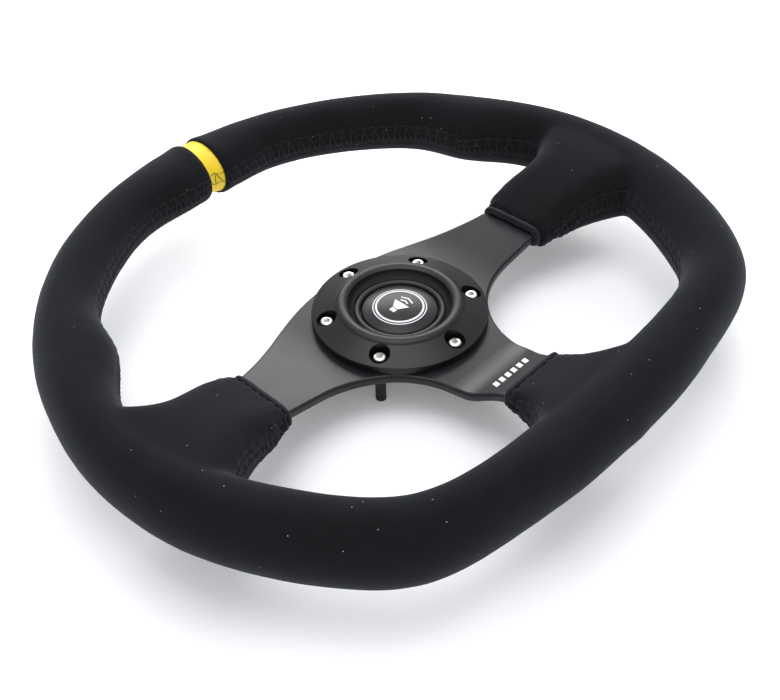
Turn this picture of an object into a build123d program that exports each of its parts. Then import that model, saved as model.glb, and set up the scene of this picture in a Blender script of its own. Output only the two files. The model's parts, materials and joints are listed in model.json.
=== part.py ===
from build123d import *
import os
from math import cos, hypot, radians, sin, tan

os.makedirs("parts", exist_ok=True)

# A flat-bottomed racing steering wheel with a suede rim, three bent spokes, a bolted hub ring
# and a horn button.  Frame: +X to 3 o'clock, +Y to 12 o'clock, +Z towards the driver.
# The origin is the centre of the bolt circle, on the back face of the spoke plate.
# All sizes are in millimetres.

# ---- Bolted hub joint ----
BOLT_CIRCLE_R = 35.0          # the common 70 mm circle
BOLT_COUNT = 6
BOLT_START = 28.0             # degrees; the whole pattern is turned a little clockwise
BOLT_R = 2.5                  # M5 thread, modelled as a plain rod
BOLT_SHANK_R = 2.2            # rolled below the thread's size, inside the plate and the ring
BOLT_HOLE_R = 2.65
BOLT_HEAD_R = 3.1
BOLT_HEAD_H = 2.9
BOLT_HEAD_ROUND = 0.9
BOLT_THREAD_Z = -0.4          # the thread begins just behind the plate
BOLT_TAIL = 17.6              # length left bare behind the plate
BOLT_POINT = 0.6              # bevel at the tail's end
SOCKET_FLATS = 3.0
SOCKET_DEPTH = 1.7

# ---- Spoke plate ----
PLATE_T = 4.5
PLATE_TOP_Y = 42.0            # the plate's edge above the hub
PLATE_BORE_R = 25.5
PLATE_EDGE_R = 1.2            # rounding along the plate's edges
SIDE_BENDS = [(48.0, 0.0)]    # distance out and underside height at each bend
LOWER_BENDS = [(57.0, 0.0), (77.0, 9.6)]
SIDE_BEND_R = 120.0
LOWER_BEND_R = 30.0
SIDE_SPOKE_LOW_Y = -14.0
LOWER_SPOKE_HALF_W = 20.6
LOWER_SPOKE_END_HALF_W = 17.2
TAPER_END_Y = -73.0           # where the lower spoke stops narrowing
GAP_R = 43.0                  # round gap between a side spoke and the lower spoke
UPPER_EDGE = [(0, PLATE_TOP_Y), (27, 39.2), (48, 32.2), (66, 24.0), (84, 17.8), (91, 16.0)]
SPOKE_END_TOP_Y = 10.0        # the side spoke narrows inside its grip
WELD_R = 3.2
WELD_SIDE_L = 24.0
WELD_LOWER_L = 30.0
WELD_BACK = 1.2               # how far the bead's middle stands off the hoop

# ---- Rim ----
RIM_Z = 20.5                  # height of the rim's centre above the plate's back face
HOOP_R = 6.0
SKIN_T = 1.2                  # suede over the foam
# Clock angle, inner radius, outer radius and half height of the finished rim, for one half.
RIM_STATIONS = [
    (0, 134.0, 166.4, 14.6),
    (15, 135.0, 165.4, 15.0),
    (30, 136.4, 165.0, 15.4),
    (45, 136.8, 165.0, 16.0),
    (54, 135.0, 165.0, 16.8),     # the thumb rest begins
    (62, 129.4, 165.0, 17.6),
    (69, 132.2, 165.0, 17.9),
    (76, 136.4, 165.0, 18.0),     # the hollow above the side spoke
    (90, 136.8, 165.4, 18.0),
    (103, 134.4, 165.0, 18.0),
    (116, 131.8, 162.8, 18.3),
    (127, 131.0, 161.6, 18.5),    # the lower corner begins
    (135, 129.2, 159.4, 18.5),
    (143, 122.8, 152.4, 18.3),
    (151, 114.6, 144.4, 17.6),
    (160, 107.6, 138.4, 16.7),
    (170, 102.6, 134.2, 16.0),
    (180, 100.8, 133.2, 15.8),
]

# ---- Padded spoke grips ----
# Distance out from the hub, then the low and high side of the section across the spoke,
# then its low and high face along Z.
SIDE_GRIP = [
    (86, -17.6, 19.4, 3.0, 15.2),
    (96, -20.6, 20.6, 1.2, 21.0),
    (108, -24.4, 19.4, 1.0, 26.8),
    (120, -30.0, 17.6, 1.8, 31.6),
    (134, -39.0, 22.0, 3.2, 35.4),
    (148, -50.0, 32.0, 5.0, 36.4),
]
LOWER_GRIP = [
    (78, -18.8, 18.8, 6.4, 17.2),
    (86, -19.8, 19.8, 4.6, 22.0),
    (95, -24.0, 24.0, 4.2, 27.4),
    (105, -36.0, 36.0, 4.8, 32.0),
    (117, -54.0, 54.0, 7.0, 33.4),
]
GRIP_CORNER = 0.86            # corner radius over half the section's thinner side
HEM_T = 2.0
HEM_INSET = 0.7

# ---- Marker band at 12 o'clock ----
BAND_W = 9.0
BAND_CLOCK = 0.9              # degrees; the band is turned a little clockwise, like the bolts
BAND_RECESS = 0.5

# ---- Hub ring ----
RING_R = 41.6
RING_EDGE_Z = 8.2
RING_CREST = (27.0, 13.4)     # radius and height
CREST_OUT = 3.4               # the crest's rounding runs this far out from it
CREST_IN = (2.4, 0.9)         # and this far in and down
RING_SLOPE = 20.0             # degrees
RING_BEVEL = 0.3
RING_BORE_R = 21.9
RING_GROOVE_Z = 8.2
RING_HOLLOW = (1.4, 1.4)      # the hollow between the lip and the crest
RING_FLANGE_Z = 6.5           # underside of the flange that the clips catch
RING_RELIEF_R = 25.2
COUNTERBORE_R = 4.8
COUNTERBORE_Z = 6.2

# ---- Horn button ----
HOUSING_R = 21.6
HOUSING_BORE_R = 19.8
HOUSING_TOP_Z = 6.0
HOUSING_BACK_Z = -10.0
HOUSING_FLOOR = 1.5
LIP_BORE_R = 18.75
LIP_TOP_Z = 8.9
CAP_R = 18.2
CAP_FLANGE_R = 19.4
CAP_FLANGE_Z = (4.2, 5.6)
CAP_SKIRT_Z = 2.2
CAP_EDGE_Z = 7.7
CAP_CROWN_Z = 10.4
CAP_WALL = 1.7
CAP_CEILING_Z = 6.6
SHEET_T = 0.8                 # brass contacts and terminals
CONTACT_R = 8.8
CONTACT_LOW_Z = -1.8
CONTACT_FLANGE_R = 16.2
CONTACT_GAP = 2.5
FIXED_FLANGE_R = 12.0
SPRING_R = 14.6
SPRING_WIRE_R = 0.6
SPRING_TURNS = 5
SPRING_END_GAP = 0.1
SEAT_R = (12.9, 16.4)         # the flat ring under the spring
TAB_W = 6.3
FOOT_HALF = 2.6               # half the length of a terminal's riveted foot
TAB_TIP_Z = -17.2
LIVE_X = 10.6
EARTH_X = -14.6
RIVET_R = 1.0
RIVET_HEAD_R = 1.7
RIVET_HEAD_H = 0.8
CLIP_COUNT = 3
CLIP_W = 6.0
CLIP_T = 0.6
CLIP_FOOT_Z = -5.0
CLIP_TIP = (24.2, 6.3)        # radius and height of the tip under the ring's flange

REACH = 400.0                 # larger than the wheel, for cutting blocks


# ---- Helpers ----
def block(x0, x1, y0, y1, z0, z1):
    """A box given by its low and high faces."""
    centre = ((x0 + x1) / 2, (y0 + y1) / 2, (z0 + z1) / 2)
    return Pos(*centre) * Box(x1 - x0, y1 - y0, z1 - z0)


def rod(x, y, radius, z0, z1):
    """An upright round rod from z0 to z1."""
    return Pos(x, y, (z0 + z1) / 2) * Cylinder(radius, z1 - z0)


def turned(points):
    """A solid turned about Z from its closed outline of radius and height."""
    outline = Polyline(*[(r, 0, z) for r, z in points], close=True)
    return revolve(make_face(outline), Axis.Z)


def flipped(shape):
    """The same piece on the other side of the wheel."""
    return mirror(shape, about=Plane.YZ)


def on_circle(shape, count, start):
    """Copies of a piece, evenly spaced about the hub."""
    return [Rot(0, 0, start + 360 / count * i) * shape for i in range(count)]


# ---- Rim sections ----
def rim_planes():
    """A plane across the rim at each station, with the section's half width and half height."""
    middles = []
    for clock, inner, outer, half_height in RIM_STATIONS:
        turn = radians(clock)
        radius = (inner + outer) / 2
        middles.append((radius * sin(turn), radius * cos(turn)))
    first, last = middles[1], middles[-2]
    chain = [(-first[0], first[1])] + middles + [(-last[0], last[1])]
    planes = []
    for i, (clock, inner, outer, half_height) in enumerate(RIM_STATIONS):
        (x, y), before, after = chain[i + 1], chain[i], chain[i + 2]
        run = hypot(after[0] - before[0], after[1] - before[1])
        ahead = ((after[0] - before[0]) / run, (after[1] - before[1]) / run)
        outward = (-ahead[1], ahead[0])
        lean = (x * outward[0] + y * outward[1]) / hypot(x, y)
        half_width = (outer - inner) / 2 * lean
        planes.append((x, y, outward, ahead, half_width, half_height))
    # One more station past each end, so that the two halves meet smoothly.
    for k, place in ((1, 0), (-2, len(planes) + 1)):
        x, y, outward, ahead, half_width, half_height = planes[k if k < 0 else k + place]
        copy = (-x, y, (-outward[0], outward[1]), (ahead[0], -ahead[1]), half_width, half_height)
        planes.insert(place, copy)
    return planes


def right_half(inset=None, round_r=None):
    """The rim's right half, inset from the finished surface, or as a round bar of one radius."""
    sections = []
    for x, y, outward, ahead, half_width, half_height in rim_planes():
        plane = Plane(origin=(x, y, RIM_Z), x_dir=(*outward, 0), z_dir=(*ahead, 0))
        if round_r:
            sections.append(plane * Circle(round_r))
        else:
            sections.append(plane * Ellipse(half_width - inset, half_height - inset))
    return loft(sections) & block(0, REACH, -REACH, REACH, -REACH, REACH)


# ---- Spoke grips ----
def grip_section(plane, low, high, bottom, top, inset):
    """A rounded rectangle across a spoke."""
    width = high - low - 2 * inset
    height = top - bottom - 2 * inset
    radius = GRIP_CORNER * min(width, height) / 2
    return plane * Pos((low + high) / 2, (bottom + top) / 2) * RectangleRounded(width, height, radius)


def side_grip(inset):
    """The padded grip over the 3 o'clock spoke."""
    sections = []
    for i, (reach, low, high, bottom, top) in enumerate(SIDE_GRIP):
        start = reach + (inset if i == 0 else 0)
        plane = Plane(origin=(start, 0, 0), x_dir=(0, 1, 0), z_dir=(1, 0, 0))
        sections.append(grip_section(plane, low, high, bottom, top, inset))
    return loft(sections)


def lower_grip(inset):
    """The padded grip over the 6 o'clock spoke."""
    sections = []
    for i, (reach, low, high, bottom, top) in enumerate(LOWER_GRIP):
        start = reach + (inset if i == 0 else 0)
        plane = Plane(origin=(0, -start, 0), x_dir=(1, 0, 0), z_dir=(0, -1, 0))
        sections.append(grip_section(plane, low, high, bottom, top, inset))
    return loft(sections)


def padded_half(inset):
    """The rim's right half with its spoke grips."""
    lower = lower_grip(inset) & block(0, REACH, -REACH, 0, -REACH, REACH)
    return right_half(inset) + side_grip(inset) + lower


# ---- Spoke plate ----
def plate_outline():
    """The plan of the plate: a hub with side spokes and a tapering lower spoke."""
    side_end = SIDE_GRIP[-1][0]
    low_end = -LOWER_GRIP[-1][0]
    shoulder = UPPER_EDGE[-1]
    gap_x = LOWER_SPOKE_HALF_W + GAP_R
    gap_y = SIDE_SPOKE_LOW_Y - GAP_R
    mid = GAP_R * sin(radians(45))
    rim_corner = (side_end, SPOKE_END_TOP_Y)
    side_corner = (side_end, SIDE_SPOKE_LOW_Y)
    arc_start, arc_end = (gap_x, SIDE_SPOKE_LOW_Y), (LOWER_SPOKE_HALF_W, gap_y)
    taper_end = (LOWER_SPOKE_END_HALF_W, TAPER_END_Y)
    right = [
        Spline(*UPPER_EDGE, tangents=[(1, 0), (1, -0.25)]),
        Polyline(shoulder, rim_corner, side_corner, arc_start),
        ThreePointArc(arc_start, (gap_x - mid, gap_y + mid), arc_end),
        Spline(arc_end, taper_end, tangents=[(0, -1), (0, -1)]),
        Polyline(taper_end, (LOWER_SPOKE_END_HALF_W, low_end), (0, low_end), (0, PLATE_TOP_Y)),
    ]
    half = make_face(right)
    return half + mirror(half, about=Plane.YZ)


def bent_sheet(plane, bends, bend_r, reach):
    """A sheet seen from its edge: flat over the hub, then rising to the rim through soft bends."""
    under = [(0, 0)] + bends + [(reach, RIM_Z - PLATE_T / 2)]
    over = [(x, z + PLATE_T) for x, z in reversed(under)]
    edge = make_face(Polyline(*under, *over, close=True))
    corners = under[1:-1] + over[1:-1]
    soft = [v for v in edge.vertices() if any(hypot(v.X - x, v.Y - z) < 0.01 for x, z in corners)]
    return extrude(plane * fillet(soft, bend_r), amount=REACH / 2, both=True)


def outline_edges(plate):
    """The long edges along the plate's outline, above and below, but not at the spokes' ends."""
    side_end = SIDE_GRIP[-1][0]
    low_end = -LOWER_GRIP[-1][0]
    found = []
    for face in plate.faces():
        centre, normal = face.center(), face.normal_at(face.center())
        at_spoke_end = abs(centre.X) > side_end - 1 or centre.Y < low_end + 1
        if abs(normal.Z) < 0.02 and not at_spoke_end:
            found += [edge for edge in face.edges() if abs((edge % 0.5).Z) < 0.7]
    return found


def spoke_plate(hoop):
    """The plate, bent at the three spokes, bored for the bolts and cut to the hoop."""
    prism = extrude(plate_outline(), amount=REACH / 4)
    side_plane = Plane(origin=(0, 0, 0), x_dir=(1, 0, 0), z_dir=(0, -1, 0))
    lower_plane = Plane(origin=(0, 0, 0), x_dir=(0, -1, 0), z_dir=(-1, 0, 0))
    side_sheet = bent_sheet(side_plane, SIDE_BENDS, SIDE_BEND_R, SIDE_GRIP[-1][0])
    lower_sheet = bent_sheet(lower_plane, LOWER_BENDS, LOWER_BEND_R, LOWER_GRIP[-1][0])
    # The side spokes and the lower spoke meet on the flat hub, short of every bend.
    first_bend = SIDE_BENDS[0][0]
    split_y = -first_bend + 6
    upper_zone = block(-REACH, REACH, split_y, REACH, -1, REACH / 4)
    lower_zone = block(-first_bend, first_bend, -REACH, split_y, -1, REACH / 4)
    sides = prism & upper_zone & (side_sheet + flipped(side_sheet))
    blank = (sides + (prism & lower_zone & lower_sheet)).solids()[0]
    plate = blank.fillet(PLATE_EDGE_R, outline_edges(blank)) - hoop
    plate -= rod(0, 0, PLATE_BORE_R, -1, PLATE_T + 1)
    hole = rod(BOLT_CIRCLE_R, 0, BOLT_HOLE_R, -1, PLATE_T + 1)
    for cutter in on_circle(hole, BOLT_COUNT, BOLT_START):
        plate -= cutter
    return plate


def weld_beads(plate, hoop):
    """The beads that join each spoke's end to the hoop, above and below the plate."""
    beads = []
    side_x = SIDE_GRIP[-1][0] - HOOP_R
    low_y = -(LOWER_GRIP[-1][0] - HOOP_R)
    for z in (RIM_Z - PLATE_T / 2 - 0.6, RIM_Z + PLATE_T / 2 - 0.4):
        side = Pos(side_x - WELD_BACK, 1, z) * Rot(90, 0, 0) * Cylinder(WELD_R, WELD_SIDE_L)
        lower = Pos(0, low_y + WELD_BACK, z) * Rot(0, 90, 0) * Cylinder(WELD_R, WELD_LOWER_L)
        beads += [side, flipped(side), lower]
    trimmed = [bead - hoop - plate for bead in beads]
    return [max(bead.solids(), key=lambda solid: solid.volume) for bead in trimmed]


# ---- Hub ring and bolts ----
def hub_ring():
    """The turned ring that clamps the plate and holds the horn button."""
    crest_r, crest_z = RING_CREST
    rim_r = RING_R - RING_BEVEL
    slope_start = (crest_r + CREST_OUT, 0, RING_EDGE_Z
                   + (rim_r - crest_r - CREST_OUT) * tan(radians(RING_SLOPE)))
    inner_end = (crest_r - CREST_IN[0], 0, crest_z - CREST_IN[1])
    groove = (RING_BORE_R, 0, RING_GROOVE_Z)
    hollow = (RING_BORE_R + RING_HOLLOW[0], 0, RING_GROOVE_Z + RING_HOLLOW[1])
    below = [(rim_r, RING_EDGE_Z), (RING_R, RING_EDGE_Z - RING_BEVEL), (RING_R, PLATE_T),
             (RING_RELIEF_R, PLATE_T), (RING_RELIEF_R, RING_FLANGE_Z), (RING_BORE_R, RING_FLANGE_Z)]
    edges = [
        Line((RING_BORE_R, 0, RING_FLANGE_Z), groove),
        ThreePointArc(groove, hollow, inner_end),
        ThreePointArc(inner_end, (crest_r, 0, crest_z), slope_start),
        Polyline(slope_start, *[(r, 0, z) for r, z in below]),
    ]
    ring = revolve(make_face(edges), Axis.Z)
    bore = rod(BOLT_CIRCLE_R, 0, BOLT_HOLE_R, 0, 20)
    bore += rod(BOLT_CIRCLE_R, 0, COUNTERBORE_R, COUNTERBORE_Z, 20)
    for cutter in on_circle(bore, BOLT_COUNT, BOLT_START):
        ring -= cutter
    return ring


def hub_bolt():
    """One socket-head screw: a small rounded head, a reduced shank and a long bare tail."""
    base = COUNTERBORE_Z
    top = base + BOLT_HEAD_H
    shoulder = BOLT_HEAD_R - BOLT_HEAD_ROUND
    mid = BOLT_HEAD_ROUND * (1 - sin(radians(45)))
    points = [(0, -BOLT_TAIL), (BOLT_R - BOLT_POINT, -BOLT_TAIL), (BOLT_R, -BOLT_TAIL + BOLT_POINT),
              (BOLT_R, BOLT_THREAD_Z), (BOLT_SHANK_R, BOLT_THREAD_Z), (BOLT_SHANK_R, base),
              (BOLT_HEAD_R, base), (BOLT_HEAD_R, top - BOLT_HEAD_ROUND)]
    outline = [(r, 0, z) for r, z in points]
    edges = [
        Polyline(*outline),
        ThreePointArc(outline[-1], (BOLT_HEAD_R - mid, 0, top - mid), (shoulder, 0, top)),
        Line((shoulder, 0, top), (0, 0, top)),
        Line((0, 0, top), outline[0]),
    ]
    bolt = revolve(make_face(edges), Axis.Z)
    socket = RegularPolygon(radius=SOCKET_FLATS / 2, side_count=6, major_radius=False)
    bolt -= extrude(Pos(0, 0, top - SOCKET_DEPTH) * socket, amount=SOCKET_DEPTH + 1)
    return Pos(BOLT_CIRCLE_R, 0, 0) * bolt


# ---- Horn button ----
FLOOR_Z = HOUSING_BACK_Z + HOUSING_FLOOR
FIXED_TOP_Z = CONTACT_LOW_Z - CONTACT_GAP
SEAT_TOP_Z = FLOOR_Z + SHEET_T
CONTACT_FLANGE_Z = CAP_CEILING_Z - SHEET_T


def button_housing():
    """The moulded cup that carries the contacts."""
    cup = turned([(0, HOUSING_BACK_Z), (HOUSING_R, HOUSING_BACK_Z), (HOUSING_R, HOUSING_TOP_Z),
                  (HOUSING_BORE_R, HOUSING_TOP_Z), (HOUSING_BORE_R, FLOOR_Z), (0, FLOOR_Z)])
    for x in (LIVE_X, EARTH_X):
        cup -= rod(x, 0, RIVET_R, HOUSING_BACK_Z - 1, FLOOR_Z + 1)
    return cup


def button_lip():
    """The rounded rubber ring around the cap."""
    mid_r = (LIP_BORE_R + HOUSING_R) / 2
    shoulder = LIP_TOP_Z - 1.3
    edges = [
        Line((LIP_BORE_R, 0, HOUSING_TOP_Z), (LIP_BORE_R, 0, shoulder)),
        ThreePointArc((LIP_BORE_R, 0, shoulder), (mid_r, 0, LIP_TOP_Z), (HOUSING_R, 0, shoulder)),
        Line((HOUSING_R, 0, shoulder), (HOUSING_R, 0, HOUSING_TOP_Z)),
        Line((HOUSING_R, 0, HOUSING_TOP_Z), (LIP_BORE_R, 0, HOUSING_TOP_Z)),
    ]
    return revolve(make_face(edges), Axis.Z)


def button_cap():
    """The domed cap: a thin shell with a flange that the lip holds in."""
    inner_r = CAP_R - CAP_WALL
    edges = [
        ThreePointArc((0, 0, CAP_CROWN_Z), (10, 0, CAP_CROWN_Z - 0.8), (CAP_R - 0.7, 0, CAP_EDGE_Z + 0.3)),
        Line((CAP_R - 0.7, 0, CAP_EDGE_Z + 0.3), (CAP_R, 0, CAP_EDGE_Z - 0.5)),
        Line((CAP_R, 0, CAP_EDGE_Z - 0.5), (CAP_R, 0, CAP_FLANGE_Z[1])),
        Line((CAP_R, 0, CAP_FLANGE_Z[1]), (CAP_FLANGE_R, 0, CAP_FLANGE_Z[1])),
        Line((CAP_FLANGE_R, 0, CAP_FLANGE_Z[1]), (CAP_FLANGE_R, 0, CAP_FLANGE_Z[0])),
        Line((CAP_FLANGE_R, 0, CAP_FLANGE_Z[0]), (CAP_R, 0, CAP_FLANGE_Z[0])),
        Line((CAP_R, 0, CAP_FLANGE_Z[0]), (CAP_R, 0, CAP_SKIRT_Z)),
        Line((CAP_R, 0, CAP_SKIRT_Z), (inner_r, 0, CAP_SKIRT_Z)),
        Line((inner_r, 0, CAP_SKIRT_Z), (inner_r, 0, CAP_CEILING_Z)),
        Line((inner_r, 0, CAP_CEILING_Z), (0, 0, CAP_CEILING_Z)),
        Line((0, 0, CAP_CEILING_Z), (0, 0, CAP_CROWN_Z)),
    ]
    return revolve(make_face(edges), Axis.Z)


def pressed_hat(flat_r, flat_z, flange_r, flange_z, hat_up):
    """A hat pressed from brass sheet: a flat centre and a flange at two heights."""
    step = SHEET_T if hat_up else -SHEET_T
    inner_r = flat_r - SHEET_T
    return turned([(0, flat_z), (flat_r, flat_z), (flat_r, flange_z), (flange_r, flange_z),
                   (flange_r, flange_z - step), (inner_r, flange_z - step),
                   (inner_r, flat_z - step), (0, flat_z - step)])


def return_spring():
    """The coil that lifts the cap and carries the earth to the moving contact."""
    low = SEAT_TOP_Z + SPRING_WIRE_R + SPRING_END_GAP
    high = CONTACT_FLANGE_Z - SPRING_WIRE_R - SPRING_END_GAP
    path = Pos(0, 0, low) * Helix((high - low) / SPRING_TURNS, high - low, SPRING_R)
    section = Plane(origin=path @ 0, z_dir=path % 0) * Circle(SPRING_WIRE_R)
    return sweep(section, path)


def terminal(x):
    """A spade tab bent down from a riveted foot."""
    foot_side = 1 if x > 0 else -1
    under = HOUSING_BACK_Z - SHEET_T
    foot = block(x - FOOT_HALF, x + FOOT_HALF, -TAB_W / 2, TAB_W / 2, under, HOUSING_BACK_Z)
    face = x - foot_side * (FOOT_HALF - SHEET_T / 2)
    blade = block(face - SHEET_T / 2, face + SHEET_T / 2, -TAB_W / 2, TAB_W / 2, TAB_TIP_Z, under)
    return foot + blade - rod(x, 0, RIVET_R, -20, 20)


def rivet(x, top):
    """A rivet through the housing floor, with its closed head below the terminal."""
    head_z = HOUSING_BACK_Z - SHEET_T - RIVET_HEAD_H
    return rod(x, 0, RIVET_R, head_z, top) + rod(x, 0, RIVET_HEAD_R, head_z, head_z + RIVET_HEAD_H)


def retaining_clip():
    """A spring-steel strip that splays out under the ring's flange."""
    tip_r, tip_z = CLIP_TIP
    splay = [(HOUSING_R, CLIP_FOOT_Z), (HOUSING_R + CLIP_T, CLIP_FOOT_Z), (tip_r, tip_z),
             (tip_r - CLIP_T - 0.1, tip_z), (HOUSING_R, CLIP_FOOT_Z / 2)]
    outline = make_face(Polyline(*[(r, 0, z) for r, z in splay], close=True))
    return extrude(outline, amount=CLIP_W / 2, both=True, dir=(0, 1, 0))


# ---- Assembly ----
hoop_half = right_half(round_r=HOOP_R)
hoop = hoop_half + flipped(hoop_half)
plate = spoke_plate(hoop)
welds = weld_beads(plate, hoop)
metalwork = hoop + plate

foam_half = padded_half(SKIN_T)
foam_whole = foam_half + flipped(foam_half)
foam = foam_whole - metalwork
for bead in welds:
    foam -= bead

band_slot = Rot(0, 0, -BAND_CLOCK) * block(-BAND_W / 2, BAND_W / 2, 100, REACH, -REACH, REACH)
skin_half = padded_half(0) - foam_whole - plate
cover_right = skin_half - band_slot
cover_left = flipped(skin_half) - band_slot
band_half = right_half(BAND_RECESS)
band = ((band_half + flipped(band_half)) & band_slot) - foam_whole

side_end, lower_end = SIDE_GRIP[0], LOWER_GRIP[0]
side_plane = Plane(origin=(side_end[0], 0, 0), x_dir=(0, 1, 0), z_dir=(1, 0, 0))
lower_plane = Plane(origin=(0, -lower_end[0], 0), x_dir=(1, 0, 0), z_dir=(0, -1, 0))
hem_right = extrude(grip_section(side_plane, *side_end[1:], HEM_INSET), amount=-HEM_T) - plate
hem_lower = extrude(grip_section(lower_plane, *lower_end[1:], HEM_INSET), amount=-HEM_T) - plate

fixed_contact = pressed_hat(CONTACT_R, FIXED_TOP_Z, FIXED_FLANGE_R, FLOOR_Z + SHEET_T, True)
fixed_contact -= rod(LIVE_X, 0, RIVET_R, -20, 20)
moving_contact = pressed_hat(CONTACT_R, CONTACT_LOW_Z, CONTACT_FLANGE_R, CONTACT_FLANGE_Z, False)
seat = rod(0, 0, SEAT_R[1], FLOOR_Z, SEAT_TOP_Z) - rod(0, 0, SEAT_R[0], FLOOR_Z - 1, SEAT_TOP_Z + 1)
seat -= rod(EARTH_X, 0, RIVET_R, -20, 20)

nodes = {
    "spoke_plate": plate,
    "rim_hoop": hoop,
    "weld_beads": welds,
    "rim_foam": foam,
    "cover_right": cover_right,
    "cover_left": cover_left,
    "hem_right": hem_right,
    "hem_left": flipped(hem_right),
    "hem_lower": hem_lower,
    "centre_band": band,
    "hub_ring": hub_ring(),
    "hub_bolts": on_circle(hub_bolt(), BOLT_COUNT, BOLT_START),
    "button_housing": button_housing(),
    "button_lip": button_lip(),
    "retaining_clips": on_circle(retaining_clip(), CLIP_COUNT, 90),
    "button_cap": button_cap(),
    "moving_contact": moving_contact,
    "fixed_contact": fixed_contact,
    "spring_seat": seat,
    "return_spring": return_spring(),
    "terminal_live": terminal(LIVE_X),
    "terminal_earth": terminal(EARTH_X),
    "terminal_rivets": [rivet(LIVE_X, FLOOR_Z + SHEET_T), rivet(EARTH_X, SEAT_TOP_Z)],
}
for name, shape in nodes.items():
    if isinstance(shape, list):
        solids = [solid for piece in shape for solid in piece.solids()]
        shape = Compound(children=solids)
    export_step(shape, f"parts/{name}.step")
    print(name, len(shape.solids()), round(shape.volume))
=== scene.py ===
# %% [markdown]
# A suede racing steering wheel, dressed in Blender.
# The metal parts arrive finished and to size, so they only need materials.
# The soft parts arrive as plain skins. They are modelled here as sewn suede over foam.
# Everything is in metres: +X is 3 o'clock, +Y is 12 o'clock and +Z looks at the driver.

# %% Load the fixed parts
import json
from math import cos, exp, pi, radians, sin

import bmesh
import bpy
import numpy as np
from mathutils import Matrix, Vector, kdtree, noise
from mathutils.bvhtree import BVHTree

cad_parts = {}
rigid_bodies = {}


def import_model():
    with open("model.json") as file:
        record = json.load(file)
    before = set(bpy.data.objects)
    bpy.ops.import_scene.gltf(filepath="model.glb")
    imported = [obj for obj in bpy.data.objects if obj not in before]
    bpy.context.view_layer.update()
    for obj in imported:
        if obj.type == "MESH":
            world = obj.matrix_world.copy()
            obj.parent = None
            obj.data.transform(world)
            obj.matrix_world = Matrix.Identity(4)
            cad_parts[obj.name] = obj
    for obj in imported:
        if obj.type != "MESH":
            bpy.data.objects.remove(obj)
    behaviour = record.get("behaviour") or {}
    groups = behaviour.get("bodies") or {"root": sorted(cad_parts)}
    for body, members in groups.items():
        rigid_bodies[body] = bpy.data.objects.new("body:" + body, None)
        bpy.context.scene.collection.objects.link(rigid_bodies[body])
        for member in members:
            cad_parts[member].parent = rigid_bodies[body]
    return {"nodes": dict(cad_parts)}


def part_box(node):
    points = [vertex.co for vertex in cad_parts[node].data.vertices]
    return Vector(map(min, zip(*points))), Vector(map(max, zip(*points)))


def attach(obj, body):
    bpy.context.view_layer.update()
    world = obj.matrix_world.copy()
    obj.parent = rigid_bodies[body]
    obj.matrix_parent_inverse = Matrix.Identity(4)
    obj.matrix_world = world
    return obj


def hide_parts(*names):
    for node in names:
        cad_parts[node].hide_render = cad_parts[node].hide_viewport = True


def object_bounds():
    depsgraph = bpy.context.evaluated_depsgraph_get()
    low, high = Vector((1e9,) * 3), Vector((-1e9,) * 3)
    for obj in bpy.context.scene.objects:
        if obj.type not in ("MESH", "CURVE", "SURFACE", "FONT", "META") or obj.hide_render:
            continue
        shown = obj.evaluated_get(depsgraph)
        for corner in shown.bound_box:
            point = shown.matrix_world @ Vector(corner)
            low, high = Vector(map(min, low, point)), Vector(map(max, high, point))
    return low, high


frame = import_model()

cad_low, cad_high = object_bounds()
nodes = frame["nodes"]
MM = 0.001

# %% [markdown]
# A few numbers come from the frame itself: the rim's middle height, the width of the marker
# band's slot, and where each padded grip ends on its spoke. Reading them keeps the soft parts
# true to the metal if the design ever changes.

# %% Measure the frame
cover_low, cover_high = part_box("cover_right")
hem_low, hem_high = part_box("hem_right")
lower_hem_low, lower_hem_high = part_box("hem_lower")
band_low, band_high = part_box("centre_band")

RIM_Z = (cover_low.z + cover_high.z) / 2
BAND_TURN = -(band_low.x + band_high.x) / (band_low.y + band_high.y)
BAND_HALF = (band_high.x - band_low.x) / 2 + BAND_TURN * (band_high.y - band_low.y) / 2
SIDE_END = hem_high.x
LOWER_END = -lower_hem_low.y
FLOOR_Z = cad_low.z
print(f"rim height {RIM_Z / MM:.1f} mm, grips end at {SIDE_END / MM:.1f} and {LOWER_END / MM:.1f} mm")
print(f"band half width {BAND_HALF / MM:.2f} mm, turned by {BAND_TURN:.4f} rad")

# %% [markdown]
# The camera stands low at the 7 o'clock side and looks across the wheel. It is set from an
# azimuth, an elevation, a slight roll and a distance to a point near the hub, so that every
# number says something about the view.

# %% Camera
VIEW_AZIMUTH = radians(-45.05)
VIEW_ELEVATION = radians(41.76)
VIEW_ROLL = radians(-1.96)
VIEW_DISTANCE = 486.4 * MM
VIEW_TARGET = Vector((-18.43, -4.16, 2.0)) * MM
FOCAL_MM = 48.64

level = cos(VIEW_ELEVATION)
back = Vector((sin(VIEW_AZIMUTH) * level, -cos(VIEW_AZIMUTH) * level, sin(VIEW_ELEVATION)))
right = Vector((cos(VIEW_AZIMUTH), sin(VIEW_AZIMUTH), 0))
up = back.cross(right)
rolled_right = right * cos(VIEW_ROLL) + up * sin(VIEW_ROLL)
rolled_up = up * cos(VIEW_ROLL) - right * sin(VIEW_ROLL)
camera_data = bpy.data.cameras.new("camera")
camera_data.lens = FOCAL_MM
camera_data.shift_x = 0.0136
camera_data.shift_y = -0.0108
camera_data.clip_start = 0.01
camera = bpy.data.objects.new("camera", camera_data)
bpy.context.scene.collection.objects.link(camera)
turn = Matrix((rolled_right, rolled_up, back)).transposed().to_4x4()
camera.matrix_world = Matrix.Translation(VIEW_TARGET + back * VIEW_DISTANCE) @ turn
bpy.context.scene.camera = camera
print("camera at", [round(v, 3) for v in camera.matrix_world.translation])

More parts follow.
